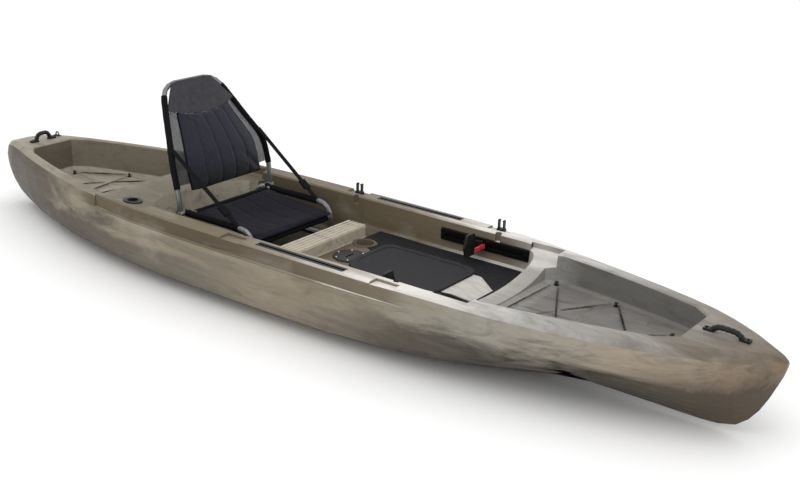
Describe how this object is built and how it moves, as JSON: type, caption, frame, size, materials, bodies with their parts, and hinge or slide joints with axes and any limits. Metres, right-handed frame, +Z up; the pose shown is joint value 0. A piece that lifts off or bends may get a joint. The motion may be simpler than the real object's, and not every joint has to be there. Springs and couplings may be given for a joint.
{
  "type": "fishing kayak",
  "caption": "Sit-on-top fishing kayak with a folding frame seat, sliding foot braces, a lidded console, gear tracks, rod holders and bungee wells.",
  "frame": {"origin": "on the ground under the middle of the overall length and width", "axes": "+X to the bow, +Y to port, +Z up"},
  "size_m": [3.66, 0.788, 0.7476],
  "materials": {
    "shell": "rotomoulded polyethylene, marbled tan, brown and grey, with a fine grain",
    "fittings": "black moulded nylon",
    "lid": "charcoal moulded plastic with a fine grain",
    "mat": "dark closed-cell foam",
    "bungee": "black braided cover over rubber",
    "track": "black anodised",
    "pedal": "black moulded nylon",
    "lever": "red moulded plastic",
    "steel": "stainless",
    "seat_tube": "gunmetal powder coat over aluminium tube",
    "seat_cloth": "navy-black woven polyester over foam",
    "seat_mesh": "black open mesh",
    "seat_yoke": "dark grey moulded plastic",
    "webbing": "black polyester webbing"
  },
  "bodies": {
    "boat": {"hull": "shell", "bow_handle": "fittings", "stern_handle": "fittings", "bow_handle_screw_1": "steel", "bow_handle_screw_2": "steel", "stern_handle_screw_1": "steel", "stern_handle_screw_2": "steel", "stern_pad_eye": "fittings", "paddle_clip_aft": "fittings", "paddle_clip_fore": "fittings", "gear_track_port": "track", "gear_track_starboard": "track", "foot_rail_port": "track", "foot_rail_starboard": "track", "rod_holder_port": "fittings", "rod_holder_starboard": "fittings", "lid_hinge_leaf": "fittings", "lid_hinge_pin": "steel", "accessory_plate": "fittings", "plate_screw_1": "steel", "plate_screw_2": "steel", "plate_screw_3": "steel", "plate_screw_4": "steel", "plate_screw_5": "steel", "plate_screw_6": "steel", "floor_mat": "mat", "bow_bungee": "bungee", "bow_button_1": "fittings", "bow_button_2": "fittings", "bow_button_3": "fittings", "bow_button_4": "fittings", "bow_button_5": "fittings", "bow_button_6": "fittings", "stern_bungee": "bungee", "stern_button_1": "fittings", "stern_button_2": "fittings", "stern_button_3": "fittings", "stern_button_4": "fittings", "stern_button_5": "fittings", "seat_hoop_port": "seat_tube", "seat_hoop_starboard": "seat_tube", "seat_cross_front": "seat_tube", "seat_cross_rear": "seat_tube", "seat_sling": "seat_cloth", "seat_strap_port": "webbing", "seat_strap_starboard": "webbing", "strap_buckle_port": "fittings", "strap_buckle_starboard": "fittings", "seat_pivot_bolt_port": "steel", "seat_pivot_bolt_starboard": "steel"},
    "seat_back": {"seat_back_frame": "seat_tube", "seat_back_mesh": "seat_mesh", "seat_back_pad": "seat_cloth", "seat_yoke": "seat_yoke"},
    "lid": {"console_lid": "lid"},
    "plug": {"drain_plug": "fittings"},
    "pedal_slider_port": {"pedal_port": "pedal"},
    "pedal_slider_starboard": {"pedal_starboard": "pedal"},
    "lever_port": {"pedal_lever_port": "lever"},
    "lever_starboard": {"pedal_lever_starboard": "lever"}
  },
  "joints": [
    {"name": "seat_back_fold", "type": "hinge", "parent": "boat", "child": "seat_back", "pos_m": [-0.452, 0, 0.29], "axis": [0, 1, 0], "range_deg": [0, 78], "deforming": ["seat_strap_port", "seat_strap_starboard"]},
    {"name": "console_lid_open", "type": "hinge", "parent": "boat", "child": "lid", "pos_m": [0.461, 0.1512, 0.2267], "axis": [-1, 0, 0], "range_deg": [0, 100]},
    {"name": "drain_plug_turn", "type": "hinge", "parent": "boat", "child": "plug", "pos_m": [-1.56, 0.132, 0.214], "axis": [0, 1, 0], "continuous": true},
    {"name": "pedal_slide_port", "type": "slide", "parent": "boat", "child": "pedal_slider_port", "axis": [1, 0, 0], "range_m": [-0.105, 0.15]},
    {"name": "pedal_slide_starboard", "type": "slide", "parent": "boat", "child": "pedal_slider_starboard", "axis": [1, 0, 0], "range_m": [-0.105, 0.15]},
    {"name": "pedal_lever_turn_port", "type": "hinge", "parent": "pedal_slider_port", "child": "lever_port", "pos_m": [0.5767, 0.2867, 0.2595], "axis": [0, 0, -1], "range_deg": [0, 18], "stiffness_Nm_per_rad": 0.3},
    {"name": "pedal_lever_turn_starboard", "type": "hinge", "parent": "pedal_slider_starboard", "child": "lever_starboard", "pos_m": [0.5767, -0.2867, 0.2595], "axis": [0, 0, 1], "range_deg": [0, 18], "stiffness_Nm_per_rad": 0.3}
  ]
}
